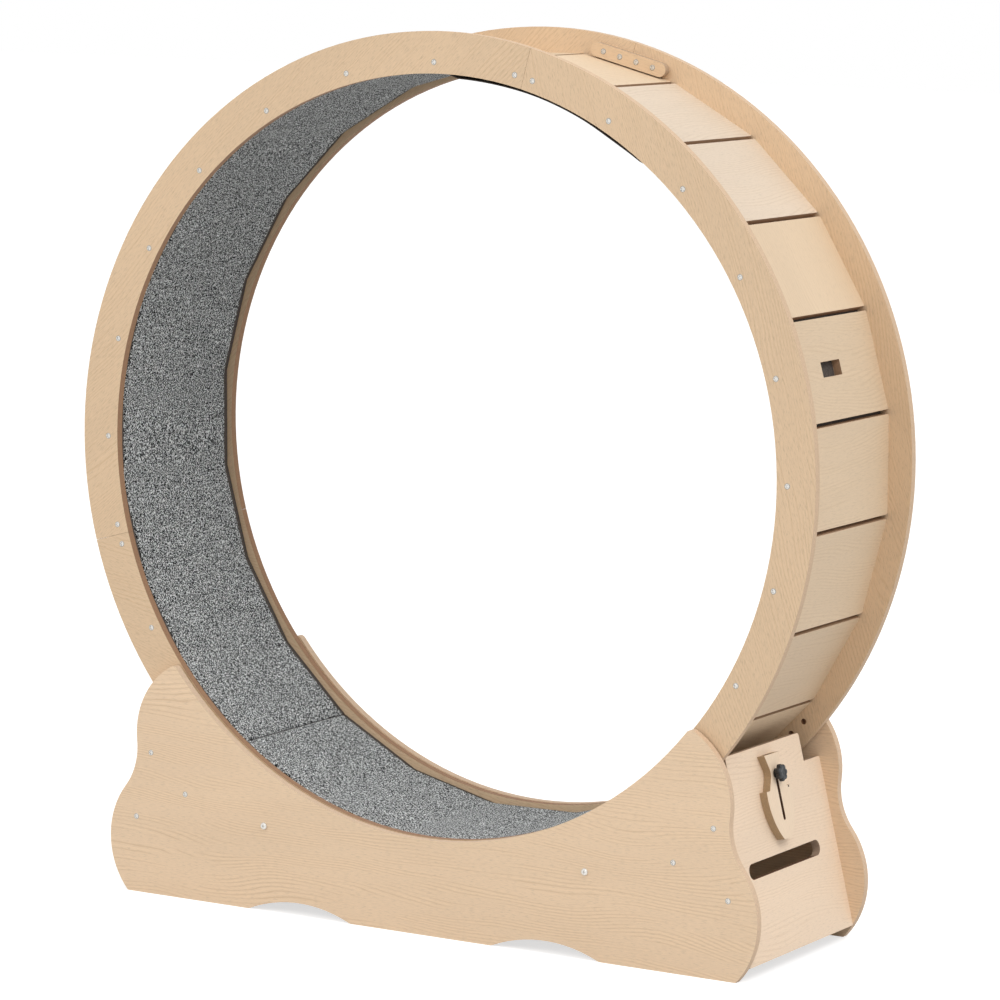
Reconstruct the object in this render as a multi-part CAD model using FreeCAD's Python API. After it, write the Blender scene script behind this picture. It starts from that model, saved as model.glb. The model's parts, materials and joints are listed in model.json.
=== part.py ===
import FreeCAD, Part
import os
from math import atan2, cos, degrees, hypot, radians, sin, sqrt, tan

# A cat exercise wheel: a drum of two board rings and 24 slats, lined with
# carpet, which turns on four grooved rollers in a board base. A plate on the
# right end panel slides up into a lock hole in a slat to hold the drum.
#
# Millimetres. The origin is on the floor under the middle of the drum, +Z is
# up, the drum's axle lies along Y, the front of the object faces -Y and the
# brake is at +X. Angles round the axle are counted from +X, up through +Z.

V = FreeCAD.Vector

# ---- drum ----
drum_diameter = 1000.0
drum_floor_gap = 66.0         # from the floor to the lowest point of the rings
ring_depth = 49.0             # from a ring's outer edge to its inner edge
ring_board = 10.0
ring_segments = 3
seam_gap = 0.3
drum_width = 240.0            # between the rings, which is a slat's length

slat_count = 24
slat_board = 10.0
slat_inset = 35.7             # from a ring's outer edge to the slats' middle
slat_gap = 4.3                # between neighbouring slats, at their middle
slat_corner_rounding = 3.0
first_slat_angle = 0.9
seam_slat = 5                 # the slat behind the first seam, counted from 0

lock_slat = 1                 # the slat with the hole for the brake plate
lock_hole_length = 48.0
lock_hole_height = 18.0

carpet_thickness = 4.5
carpet_side_gap = 0.6
carpet_seam_angle = 233.5
carpet_seam_gap = 0.8

splice_length = 105.0
splice_height = 17.0
splice_board = 10.0
splice_inset = 20.4           # from a ring's outer edge to a plate's middle
splice_screw_pitch = 23.0
splice_screws = 4
open_seam = 2                 # this seam has the screw holes and no plate
open_hole_diameter = 7.0
open_hole_depth = 7.0

# ---- wood screws ----
screw_head_diameter = 7.0
screw_shank_diameter = 3.6
screw_point = 3.0
ring_screw_length = 32.0
splice_screw_length = 17.0
base_screw_length = 38.0
screw_fit = 0.05              # round a shank and under a head
seam_screw_offset = 12.2      # of each screw of the pair behind a seam
recess_width = 0.9
recess_length = 3.6
recess_depth = 1.3
cut_past = 1.0                # of a cutter past the face that it opens

# ---- base: side panels ----
side_board = 10.0
ring_side_clearance = 3.5     # from a ring to the side panel beside it
shoulder_x = 312.4            # middle of the round shoulder
shoulder_z = 199.9
shoulder_radius = 97.4
belly_x = 346.7               # middle of the round belly
belly_z = 67.8
belly_radius = 101.0
waist_radius = 80.0           # of the hollow between shoulder and belly
tip_rounding = 7.0
arch_x = 170.5                # middle of a low arch under the panel
arch_width = 145.0
arch_height = 15.5
arch_rounding = 12.0

# ---- base: end panels and rails ----
end_board = 10.0
end_lean = 14.4               # degrees from upright, the top leaning in
end_foot_x = 434.5            # lower edge of an end panel's outer face
end_foot_z = 16.2
end_ring_clearance = 14.0     # from a ring to the shoulders of an end panel
tongue_slat_clearance = 12.5  # from a slat's corner to the top of the tongue
tongue_width = 186.0          # the part of an end panel between the rings
tongue_rounding = 4.0
end_corner_rounding = 3.0
handle_length = 180.0
handle_height = 18.5
handle_up = 103.5             # up the panel from its foot to the slot's middle
end_screws_up = (81.4, 165.7)
rail_size = 24.0
rail_x = 337.5
rail_z = 129.5

# ---- rollers ----
roller_angle = 25.7           # of each roller from straight below the axle
roller_root_diameter = 24.0
roller_flange_depth = 4.0
roller_flange = 2.0
roller_clearance = 0.3        # from a groove's root to the ring above it
groove_taper = 8.0            # degrees, of a flange's inner side
groove_side_clearance = 0.5
bearing_outer_diameter = 16.0
bearing_bore = 5.0
bearing_width = 5.0
race_wall = 1.7
race_shield = 0.4
race_clearance = 0.08
bearing_balls = 8
ball_clearance = 0.05
bearing_seat_fit = 0.02
roller_shoulder = 1.5         # how far the bearing's stop stands in
axle_fit = 0.05
axle_end = 1.0                # of the bolt past its nut
axle_head_diameter = 8.5
axle_head_height = 2.4
axle_head_crown = 1.0
spacer_diameter = 8.0
nut_width = 8.0
nut_height = 4.0

# ---- brake ----
plate_board = 10.0
plate_gap = 0.3
plate_top_up = 228.0          # places up the end panel from its foot
plate_neck_up = 206.0
plate_step_up = 187.0
plate_side_up = 155.5
plate_tip_up = 128.0
plate_top_width = 38.0
plate_neck_width = 20.0
plate_step_width = 43.0
plate_body_width = 60.0
plate_side_width = 53.0
plate_tip_width = 19.0
plate_neck_rounding = 12.0
stud_up = 204.5
stud_diameter = 5.0
stud_head_diameter = 13.0
stud_head_height = 2.5
stud_head_face_diameter = 8.0
stud_grip = 3.6               # of the stud into the knob, past its collar
slit_length = 58.0
slit_clearance = 0.3
knob_diameter = 21.0
knob_height = 6.0
knob_lobes = 7
knob_lobe_radius = 3.4
knob_core_diameter = 16.0     # inside the lobes
knob_bevel = 1.2
knob_collar_diameter = 12.0
knob_collar_height = 4.5
knob_fit = 0.05
knob_bore_spare = 0.3         # of the bore past the stud's tip

# ---- worked out from the sizes above ----
drum_radius = drum_diameter / 2
axle_z = drum_radius + drum_floor_gap
ring_inner_radius = drum_radius - ring_depth
ring_in_y = drum_width / 2
ring_out_y = ring_in_y + ring_board
slat_pitch = 360.0 / slat_count
slat_radius = drum_radius - slat_inset
slat_width = 2 * slat_radius * tan(radians(slat_pitch / 2)) - slat_gap
slat_back = slat_radius + slat_board / 2
slat_face = slat_radius - slat_board / 2
slat_corner_radius = hypot(slat_back, slat_width / 2)
splice_radius = drum_radius - splice_inset
seam_angles = [first_slat_angle + slat_pitch * seam_slat + i * 360.0 / ring_segments
               for i in range(ring_segments)]
side_in_y = ring_out_y + ring_side_clearance
side_out_y = side_in_y + side_board
roller_root_radius = roller_root_diameter / 2
roller_path = drum_radius + roller_root_radius + roller_clearance
roller_x = roller_path * sin(radians(roller_angle))
roller_z = axle_z - roller_path * cos(radians(roller_angle))
bolt_fit_radius = bearing_bore / 2 - axle_fit

END_UP = V(-sin(radians(end_lean)), 0, cos(radians(end_lean)))
END_OUT = V(cos(radians(end_lean)), 0, sin(radians(end_lean)))


def save(shape, name):
    """Write one node, after a test that each of its solids is sound."""
    for solid in shape.Solids:
        assert solid.isValid() and solid.Volume > 0, name
    shape.exportStep("parts/" + name + ".step")
    print(name, len(shape.Solids), "solid(s)", round(shape.Volume / 1000, 2), "cm3")


def outline_face(edges):
    """A flat face inside a closed outline of edges."""
    return Part.Face(Part.Wire(edges))


def lines(points):
    """Straight edges from point to point."""
    return [Part.makeLine(a, b) for a, b in zip(points, points[1:])]


def turned(points):
    """A solid turned about the Y axis from a closed outline of (radius, y)."""
    corners = [V(radius, y, 0) for radius, y in points + points[:1]]
    return outline_face(lines(corners)).revolve(V(0, 0, 0), V(0, 1, 0), 360)


def moved(shape, place):
    copy = shape.copy()
    copy.translate(place)
    return copy


def about_axle(shape, angle):
    """A copy of the shape, turned round the drum's axle."""
    copy = shape.copy()
    copy.rotate(V(0, 0, axle_z), V(0, -1, 0), angle)
    return copy


def facing_back(shape):
    """A copy of a piece of the front, turned round to face +Y at the back."""
    copy = shape.copy()
    copy.rotate(V(0, 0, 0), V(0, 0, 1), 180)
    return copy


def mirrored_x(shape):
    return shape.mirror(V(0, 0, 0), V(1, 0, 0))


def rounded(solid, radius, places):
    """A copy of the solid, with its edges through these places rounded."""
    chosen = [edge for edge in solid.Edges for place in places
              if edge.distToShape(Part.Vertex(place))[0] < 1e-6]
    return solid.makeFillet(radius, chosen)


def on_drum(radius, angle, y=0.0, sideways=0.0):
    """A point by its angle round the axle, shifted along the tangent there."""
    a = radians(angle)
    return V(radius * cos(a) - sideways * sin(a), y, axle_z + radius * sin(a) + sideways * cos(a))


def on_end(y, up, out=0.0):
    """A point on the right end panel: across it, up it and out from its face."""
    return V(end_foot_x, y, end_foot_z) + END_UP * up + END_OUT * out


# ---- screws ----

def screw_body(length, fit=0.0, mouth=0.0):
    """A countersunk screw along +Y with its head flush at y = 0.

    With a fit it is the hole for such a screw, open past y = -mouth."""
    head = screw_head_diameter / 2 + fit
    shank = screw_shank_diameter / 2 + fit
    cone = head - shank
    outline = [(0, -mouth)]
    if mouth:
        outline += [(head, -mouth)]
    outline += [(head, 0), (shank, cone), (shank, length - screw_point + fit)]
    outline += [(0, length + fit)]
    return turned(outline)


def cross_recess(depth):
    """The cutter for a cross recess in a head that faces -Y."""
    long, wide = recess_length, recess_width
    blade = Part.makeBox(long, depth * 2, wide, V(-long / 2, -depth, -wide / 2))
    return blade.fuse(Part.makeBox(wide, depth * 2, long, V(-wide / 2, -depth, -long / 2)))


def wood_screw(length):
    return screw_body(length).cut(cross_recess(recess_depth))


def ring_screw_places():
    """(slat number, sideways offset) of the screws through a ring."""
    places = []
    for number in range(slat_count):
        angle = first_slat_angle + number * slat_pitch
        at_seam = any(abs((angle - seam + 180) % 360 - 180) < 0.01 for seam in seam_angles)
        offsets = (-seam_screw_offset, seam_screw_offset) if at_seam else (0.0,)
        places += [(number, offset) for offset in offsets]
    return places


def ring_screw_points():
    """Where the front ring's screws enter its outside face."""
    return [on_drum(slat_radius, first_slat_angle + number * slat_pitch, -ring_out_y, offset)
            for number, offset in ring_screw_places()]


def splice_screw_points(seam):
    """Where a splice plate's screws enter it, on the front ring's plate."""
    y = -(ring_in_y - splice_board)
    first = -(splice_screws - 1) / 2
    return [on_drum(splice_radius, seam, y, (first + i) * splice_screw_pitch)
            for i in range(splice_screws)]


def facing_ring(shape):
    """A copy of a screw turned to enter the front ring from the drum's inside."""
    return facing_back(shape)


# ---- drum ----

def ring_segment(start, end):
    """One segment of the front ring, from seam to seam."""
    inset = degrees(seam_gap / 2 / drum_radius)
    start, end = start + inset, end - inset
    middle = (start + end) / 2
    y = -ring_out_y
    outer, inner = drum_radius, ring_inner_radius
    edges = [
        Part.Arc(on_drum(outer, start, y), on_drum(outer, middle, y), on_drum(outer, end, y)).toShape(),
        Part.makeLine(on_drum(outer, end, y), on_drum(inner, end, y)),
        Part.Arc(on_drum(inner, end, y), on_drum(inner, middle, y), on_drum(inner, start, y)).toShape(),
        Part.makeLine(on_drum(inner, start, y), on_drum(outer, start, y)),
    ]
    board = outline_face(edges).extrude(V(0, ring_board, 0))
    hole = screw_body(ring_screw_length, screw_fit, mouth=cut_past)
    cutters = [moved(hole, point) for point in ring_screw_points()]
    splice_hole = facing_ring(screw_body(splice_screw_length, screw_fit))
    for number, seam in enumerate(seam_angles):
        for point in splice_screw_points(seam):
            if number != open_seam:
                cutters.append(moved(splice_hole, point))
            else:
                face = V(point.x, -ring_in_y, point.z)
                cutters.append(Part.makeCylinder(open_hole_diameter / 2, open_hole_depth,
                                                 face, V(0, -1, 0)))
    near = [cutter for cutter in cutters if cutter.distToShape(board)[0] < 1e-6]
    return board.cut(near)


def slat(number):
    """One slat, with the pilot holes for its screws and any lock hole."""
    board = Part.makeBox(slat_board, drum_width, slat_width,
                         V(slat_face, -drum_width / 2, axle_z - slat_width / 2))
    board = board.makeFillet(slat_corner_rounding, [
        edge for edge in board.Edges if abs(edge.Vertexes[0].X - edge.Vertexes[-1].X) > slat_board / 2])
    hole = screw_body(ring_screw_length, screw_fit)
    for place, offset in ring_screw_places():
        if place == number:
            front = moved(hole, on_drum(slat_radius, 0, -ring_out_y, offset))
            back = moved(facing_back(hole), on_drum(slat_radius, 0, ring_out_y, offset))
            board = board.cut([front, back])
    if number == lock_slat:
        board = board.cut(Part.makeBox(slat_board * 2, lock_hole_length, lock_hole_height,
                                       V(slat_face - slat_board / 2, -lock_hole_length / 2,
                                         axle_z - lock_hole_height / 2)))
    return about_axle(board, first_slat_angle + number * slat_pitch)


def carpet():
    """The liner: a flat on every slat, cut through at its butt seam."""
    def prism(flat_radius):
        corner = flat_radius / cos(radians(slat_pitch / 2))
        points = [on_drum(corner, first_slat_angle + (i + 0.5) * slat_pitch, -width / 2)
                  for i in range(slat_count)]
        return outline_face(lines(points + points[:1])).extrude(V(0, width, 0))

    width = drum_width - 2 * carpet_side_gap
    liner = prism(slat_face).cut(prism(slat_face - carpet_thickness))
    slit = Part.makeBox(drum_radius, width, carpet_seam_gap,
                        V(0, -width / 2, axle_z - carpet_seam_gap / 2))
    return liner.cut(about_axle(slit, carpet_seam_angle))


def splice_plate(seam):
    """A strip with round ends, across a seam on the front ring's inside."""
    half = splice_length / 2 - splice_height / 2
    end_radius = splice_height / 2
    y = -ring_in_y
    corner = [V(splice_radius + side * end_radius, y, axle_z + way * half)
              for side, way in ((-1, -1), (-1, 1), (1, 1), (1, -1))]
    tip = [V(splice_radius, y, axle_z + way * splice_length / 2) for way in (1, -1)]
    edges = [
        Part.makeLine(corner[0], corner[1]),
        Part.Arc(corner[1], tip[0], corner[2]).toShape(),
        Part.makeLine(corner[2], corner[3]),
        Part.Arc(corner[3], tip[1], corner[0]).toShape(),
    ]
    strip = about_axle(outline_face(edges).extrude(V(0, splice_board, 0)), seam)
    hole = facing_ring(screw_body(splice_screw_length, screw_fit, mouth=cut_past))
    return strip.cut([moved(hole, point) for point in splice_screw_points(seam)])


# ---- base ----

def side_corners():
    """The points of the right half of a side panel's outline, (x, z)."""
    reach_up = shoulder_radius + waist_radius
    reach_down = belly_radius + waist_radius
    across, down = belly_x - shoulder_x, belly_z - shoulder_z
    apart = hypot(across, down)
    along = (reach_up ** 2 - reach_down ** 2 + apart ** 2) / (2 * apart)
    out = sqrt(reach_up ** 2 - along ** 2)
    waist = (shoulder_x + (across * along - down * out) / apart,
             shoulder_z + (down * along + across * out) / apart)

    def towards(centre, radius, target):
        length = hypot(target[0] - centre[0], target[1] - centre[1])
        return (centre[0] + (target[0] - centre[0]) * radius / length,
                centre[1] + (target[1] - centre[1]) * radius / length)

    shoulder, belly = (shoulder_x, shoulder_z), (belly_x, belly_z)
    up = axle_z - shoulder_z
    centres = hypot(shoulder_x, up)
    part = (ring_inner_radius ** 2 - shoulder_radius ** 2 + centres ** 2) / (2 * centres)
    high = sqrt(ring_inner_radius ** 2 - part ** 2)
    tip = ((shoulder_x * part + up * high) / centres,
           axle_z + (-up * part + shoulder_x * high) / centres)
    upper_waist = towards(shoulder, shoulder_radius, waist)
    halfway = (atan2(tip[1] - shoulder_z, tip[0] - shoulder_x)
               + atan2(upper_waist[1] - shoulder_z, upper_waist[0] - shoulder_x)) / 2
    return {
        "tip": tip,
        "shoulder": (shoulder_x + shoulder_radius * cos(halfway),
                     shoulder_z + shoulder_radius * sin(halfway)),
        "upper waist": upper_waist,
        "waist": towards(waist, waist_radius, (0, waist[1])),
        "lower waist": towards(belly, belly_radius, waist),
        "belly": (belly_x + belly_radius, belly_z),
        "foot": (belly_x + sqrt(belly_radius ** 2 - belly_z ** 2), 0.0),
    }


def side_panel():
    """The front side panel, with its screw and bolt holes."""
    y = -side_out_y
    corner = side_corners()

    def at(name, way=1):
        x, z = corner[name]
        return V(way * x, y, z)

    def bend(a, b, c, way):
        return Part.Arc(at(a, way), at(b, way), at(c, way)).toShape()

    def arch(way):
        return [V(way * (arch_x - arch_width / 2), y, 0), V(way * arch_x, y, arch_height),
                V(way * (arch_x + arch_width / 2), y, 0)]

    edges = []
    for way in (1, -1):
        edges += [bend("tip", "shoulder", "upper waist", way),
                  bend("upper waist", "waist", "lower waist", way),
                  bend("lower waist", "belly", "foot", way),
                  Part.makeLine(at("foot", way), arch(way)[2]),
                  Part.Arc(*arch(way)).toShape()]
    edges.append(Part.makeLine(arch(1)[0], arch(-1)[0]))
    bottom = V(0, y, axle_z - ring_inner_radius)
    edges.append(Part.Arc(at("tip", -1), bottom, at("tip")).toShape())
    wire = Part.Wire(Part.__sortEdges__(edges))
    board = Part.Face(wire).extrude(V(0, side_board, 0))

    def crossing(points):
        """The board's edges that cross it at these places of its outline."""
        return [edge for edge in board.Edges for x, z in points
                if abs(edge.Vertexes[0].X - edge.Vertexes[-1].X) < 1e-6
                and abs(edge.Length - side_board) < 1e-6
                and abs(edge.Vertexes[0].X - x) < 1e-3 and abs(edge.Vertexes[0].Z - z) < 1e-3]

    tip_x, tip_z = corner["tip"]
    board = board.makeFillet(tip_rounding, crossing([(tip_x, tip_z), (-tip_x, tip_z)]))
    arch_ends = [(way * (arch_x + side * arch_width / 2), 0) for way in (1, -1) for side in (1, -1)]
    board = board.makeFillet(arch_rounding, crossing(arch_ends))
    hole = screw_body(base_screw_length, screw_fit, mouth=cut_past)
    cutters = [moved(hole, point) for point in base_screw_points()]
    for way in (1, -1):
        cutters.append(Part.makeCylinder(bolt_fit_radius + axle_fit, side_board * 2,
                                         V(way * roller_x, y - side_board / 2, roller_z), V(0, 1, 0)))
    return board.cut(cutters)


def base_screw_points():
    """Where the base's screws enter the front side panel."""
    points = []
    for up in end_screws_up:
        place = on_end(0, up, -end_board / 2)
        points += [V(way * place.x, -side_out_y, place.z) for way in (1, -1)]
    points += [V(way * rail_x, -side_out_y, rail_z) for way in (1, -1)]
    return points


def up_end_panel(radius, out):
    """How far up the end panel, at this depth, it comes this near the axle."""
    foot = on_end(0, 0, out) - V(0, 0, axle_z)
    along = foot.dot(END_UP)
    return -along - sqrt(radius ** 2 - (foot.Length ** 2 - along ** 2))


def end_panel(with_stud):
    """The right end panel: shoulders under the rings, a tongue between them."""
    half = side_in_y
    tongue = tongue_width / 2
    shoulder = up_end_panel(drum_radius + end_ring_clearance, -end_board)
    top = up_end_panel(slat_corner_radius + tongue_slat_clearance, -end_board)
    corners = [on_end(-half, 0), on_end(half, 0), on_end(half, shoulder), on_end(tongue, shoulder),
               on_end(tongue, top), on_end(-tongue, top), on_end(-tongue, shoulder),
               on_end(-half, shoulder)]
    board = outline_face(lines(corners + corners[:1])).extrude(END_OUT * -end_board)
    halfway = [corner - END_OUT * end_board / 2 for corner in corners]
    board = rounded(board, tongue_rounding, [halfway[4], halfway[5]])
    board = rounded(board, end_corner_rounding, [halfway[i] for i in (0, 1, 2, 7)])
    straight = (handle_length - handle_height) / 2
    low, high = handle_up - handle_height / 2, handle_up + handle_height / 2
    slot = [
        Part.makeLine(on_end(-straight, low), on_end(straight, low)),
        Part.Arc(on_end(straight, low), on_end(handle_length / 2, handle_up),
                 on_end(straight, high)).toShape(),
        Part.makeLine(on_end(straight, high), on_end(-straight, high)),
        Part.Arc(on_end(-straight, high), on_end(-handle_length / 2, handle_up),
                 on_end(-straight, low)).toShape(),
    ]
    cutters = [outline_face(slot).extrude(END_OUT * -end_board)]
    hole = screw_body(base_screw_length, screw_fit)
    for up in end_screws_up:
        place = on_end(0, up, -end_board / 2)
        cutters += [moved(hole, V(place.x, -side_out_y, place.z)),
                    moved(facing_back(hole), V(place.x, side_out_y, place.z))]
    if with_stud:
        cutters.append(Part.makeCylinder(stud_diameter / 2 + screw_fit, end_board,
                                         on_end(0, stud_up, -end_board), END_OUT))
    return board.cut(cutters)


def cross_rail():
    """The right rail, which ties the two side panels together."""
    batten = Part.makeBox(rail_size, 2 * side_in_y, rail_size,
                          V(rail_x - rail_size / 2, -side_in_y, rail_z - rail_size / 2))
    hole = screw_body(base_screw_length, screw_fit)
    return batten.cut([moved(hole, V(rail_x, -side_out_y, rail_z)),
                       moved(facing_back(hole), V(rail_x, side_out_y, rail_z))])


# ---- rollers: made round the Y axis at the front, the panel towards -Y ----

groove_y = -(ring_in_y + ring_out_y) / 2      # middle of the front ring
groove_half = ring_board / 2 + groove_side_clearance
bearing_out_y = groove_y - bearing_width / 2
bearing_in_y = groove_y + bearing_width / 2
nut_end_y = bearing_in_y + nut_height


def roller():
    """A grooved wheel with a seat for its bearing."""
    root = roller_root_radius
    flange = root + roller_flange_depth
    seat = bearing_outer_diameter / 2 + bearing_seat_fit
    stop = seat - roller_shoulder
    outer, inner = groove_y - groove_half, groove_y + groove_half
    taper = roller_flange_depth * tan(radians(groove_taper))
    return turned([
        (stop, outer - roller_flange), (flange, outer - roller_flange), (flange, outer - taper),
        (root, outer), (root, inner), (flange, inner + taper),
        (flange, inner + roller_flange), (seat, inner + roller_flange),
        (seat, bearing_out_y), (stop, bearing_out_y)])


def outer_race():
    """The turning race of a bearing, with the shields that close it."""
    rim = bearing_outer_diameter / 2
    track = rim - race_wall
    lip = bearing_bore / 2 + race_wall + race_clearance
    return turned([
        (rim, bearing_out_y), (rim, bearing_in_y), (lip, bearing_in_y),
        (lip, bearing_in_y - race_shield), (track, bearing_in_y - race_shield),
        (track, bearing_out_y + race_shield), (lip, bearing_out_y + race_shield),
        (lip, bearing_out_y)])


def tube(inner, outer, y_low, y_high):
    return turned([(inner, y_low), (outer, y_low), (outer, y_high), (inner, y_high)])


def inner_race():
    return tube(bearing_bore / 2, bearing_bore / 2 + race_wall, bearing_out_y, bearing_in_y)


def balls():
    """The balls between the two races of one bearing."""
    inner = bearing_bore / 2 + race_wall
    outer = bearing_outer_diameter / 2 - race_wall
    path = (inner + outer) / 2
    radius = (outer - inner) / 2 - ball_clearance
    return Part.makeCompound([
        Part.makeSphere(radius, V(path * cos(radians(angle)), groove_y, path * sin(radians(angle))))
        for angle in [i * 360.0 / bearing_balls for i in range(bearing_balls)]])


def spacer():
    return tube(bearing_bore / 2, spacer_diameter / 2, -side_in_y, bearing_out_y)


def axle_bolt():
    """A bolt with a low round head outside the panel and a cross recess."""
    shank = bolt_fit_radius
    head = axle_head_diameter / 2
    face = -side_out_y - axle_head_height
    bolt = turned([(0, face), (head - axle_head_crown, face), (head, face + axle_head_crown),
                   (head, -side_out_y), (shank, -side_out_y), (shank, nut_end_y + axle_end),
                   (0, nut_end_y + axle_end)])
    return bolt.cut(moved(cross_recess(recess_depth), V(0, face, 0)))


def axle_nut():
    """A hexagon nut against the bearing's inner race."""
    corner = nut_width / 2 / cos(radians(30))
    points = [V(corner * cos(radians(60 * i)), bearing_in_y, corner * sin(radians(60 * i)))
              for i in range(7)]
    block = outline_face(lines(points)).extrude(V(0, nut_height, 0))
    return block.cut(tube(0, bearing_bore / 2, bearing_in_y, nut_end_y))


def at_rollers(shape):
    """Copies of a roller's piece at the four rollers, by the roller's name."""
    front_left = moved(shape, V(-roller_x, 0, roller_z))
    front_right = moved(shape, V(roller_x, 0, roller_z))
    return {"front_left": front_left, "front_right": front_right,
            "back_left": facing_back(front_right), "back_right": facing_back(front_left)}


# ---- brake ----

def brake_plate():
    """The plate on the right end panel, lowered onto its stud."""
    def at(width, up, out=plate_gap):
        return on_end(width / 2, up, out)

    neck = [(plate_top_width, plate_top_up), (plate_neck_width, plate_neck_up),
            (plate_step_width, plate_step_up)]
    body = [(plate_body_width, plate_step_up), (plate_side_width, plate_side_up),
            (plate_tip_width, plate_tip_up)]
    edges = [Part.makeLine(at(-plate_top_width, plate_top_up), at(plate_top_width, plate_top_up)),
             Part.makeLine(at(-plate_tip_width, plate_tip_up), at(plate_tip_width, plate_tip_up))]
    for way in (1, -1):
        edges += lines([at(way * width, up) for width, up in neck])
        edges.append(Part.Arc(*[at(way * width, up) for width, up in body]).toShape())
        edges.append(Part.makeLine(at(way * plate_step_width, plate_step_up),
                                   at(way * plate_body_width, plate_step_up)))
    outline = Part.Wire(Part.__sortEdges__(edges))
    plate = Part.Face(outline).extrude(END_OUT * plate_board)
    plate = rounded(plate, plate_neck_rounding,
                    [at(way * plate_neck_width, plate_neck_up, plate_gap + plate_board / 2)
                     for way in (1, -1)])
    half = stud_diameter / 2 + slit_clearance
    slot_top = stud_up
    slot_low = stud_up - (slit_length - 2 * half)
    slit = [
        Part.makeLine(at(2 * half, slot_low), at(2 * half, slot_top)),
        Part.Arc(at(2 * half, slot_top), at(0, slot_top + half), at(-2 * half, slot_top)).toShape(),
        Part.makeLine(at(-2 * half, slot_top), at(-2 * half, slot_low)),
        Part.Arc(at(-2 * half, slot_low), at(0, slot_low - half), at(2 * half, slot_low)).toShape(),
    ]
    return plate.cut(outline_face(slit).extrude(END_OUT * plate_board))


def along_stud(shape):
    """Move a piece made along +Y from y = 0 onto the stud's axis."""
    copy = shape.copy()
    copy.rotate(V(0, 0, 0), V(0, 0, 1), -90)
    copy.rotate(V(0, 0, 0), V(0, 1, 0), -end_lean)
    copy.translate(on_end(0, stud_up))
    return copy


knob_seat = 2 * plate_gap + plate_board


def brake_stud():
    """A round-headed bolt through the end panel from its inside."""
    shank = stud_diameter / 2
    head = stud_head_diameter / 2
    back = -end_board - stud_head_height
    tip = knob_seat + knob_collar_height + stud_grip
    return along_stud(turned([(0, back), (stud_head_face_diameter / 2, back), (head, -end_board),
                              (shank, -end_board), (shank, tip), (0, tip)]))


def star_knob():
    """A lobed knob on a round collar, with a blind bore for the stud."""
    core = knob_core_diameter / 2
    grip_y = knob_seat + knob_collar_height
    grip_end = grip_y + knob_height
    grip = turned([(0, grip_y), (core, grip_y), (core, grip_end - knob_bevel),
                   (core - knob_bevel, grip_end), (0, grip_end)])
    lobe_path = knob_diameter / 2 - knob_lobe_radius
    for i in range(knob_lobes):
        angle = radians(i * 360.0 / knob_lobes)
        lobe = turned([(0, grip_y), (knob_lobe_radius, grip_y), (knob_lobe_radius, grip_end - knob_bevel),
                       (knob_lobe_radius - knob_bevel, grip_end), (0, grip_end)])
        grip = grip.fuse(moved(lobe, V(lobe_path * cos(angle), 0, lobe_path * sin(angle))))
    collar = tube(0, knob_collar_diameter / 2, knob_seat, grip_y)
    bore_end = grip_y + stud_grip + knob_bore_spare
    bore = tube(0, stud_diameter / 2 + knob_fit, knob_seat, bore_end)
    return along_stud(grip.fuse(collar).cut(bore).removeSplitter())


# ---- the nodes ----

os.makedirs("parts", exist_ok=True)

segment_names = ["upper_left", "lower", "right"]
for number, name in enumerate(segment_names):
    segment = ring_segment(seam_angles[number], seam_angles[number] + 360.0 / ring_segments)
    save(segment, "front_ring_" + name)
    # The back ring is the front one's mirror image.
    save(segment.mirror(V(0, 0, 0), V(0, 1, 0)), "back_ring_" + name)

for number in range(slat_count):
    save(slat(number), "slat_%02d" % (number + 1))

save(carpet(), "carpet_liner")

plate_screws = []
splice_screw = wood_screw(splice_screw_length)
for number, seam in enumerate(seam_angles):
    if number != open_seam:
        plate = splice_plate(seam)
        place = ["top", "left"][number]
        save(plate, "front_splice_plate_" + place)
        save(plate.mirror(V(0, 0, 0), V(0, 1, 0)), "back_splice_plate_" + place)
        for point in splice_screw_points(seam):
            plate_screws.append(moved(facing_ring(splice_screw), point))
            plate_screws.append(moved(splice_screw, V(point.x, -point.y, point.z)))
save(Part.makeCompound(plate_screws), "splice_screws")

ring_screw = wood_screw(ring_screw_length)
ring_screws = []
for point in ring_screw_points():
    ring_screws.append(moved(ring_screw, point))
    ring_screws.append(moved(facing_back(ring_screw), V(point.x, -point.y, point.z)))
save(Part.makeCompound(ring_screws), "ring_screws")

front_side = side_panel()
save(front_side, "front_side_panel")
save(front_side.mirror(V(0, 0, 0), V(0, 1, 0)), "back_side_panel")
save(end_panel(with_stud=True), "right_end_panel")
save(mirrored_x(end_panel(with_stud=False)), "left_end_panel")
save(cross_rail(), "right_cross_rail")
save(mirrored_x(cross_rail()), "left_cross_rail")

base_screw = wood_screw(base_screw_length)
base_screws = []
for point in base_screw_points():
    base_screws.append(moved(base_screw, point))
    base_screws.append(moved(facing_back(base_screw), V(point.x, -point.y, point.z)))
save(Part.makeCompound(base_screws), "base_screws")

for name, wheel in at_rollers(roller()).items():
    save(wheel, "roller_" + name)
for name, race in at_rollers(outer_race()).items():
    save(race, "outer_race_" + name)
save(Part.makeCompound(list(at_rollers(inner_race()).values())), "inner_races")
save(Part.makeCompound(list(at_rollers(balls()).values())), "bearing_balls")
save(Part.makeCompound(list(at_rollers(spacer()).values())), "axle_spacers")
save(Part.makeCompound(list(at_rollers(axle_bolt()).values())), "axle_bolts")
save(Part.makeCompound(list(at_rollers(axle_nut()).values())), "axle_nuts")

save(brake_plate(), "brake_plate")
save(brake_stud(), "brake_stud")
save(star_knob(), "star_knob")
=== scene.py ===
import json
import math

import bmesh
import bpy
from mathutils import Matrix, Vector, noise


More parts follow.
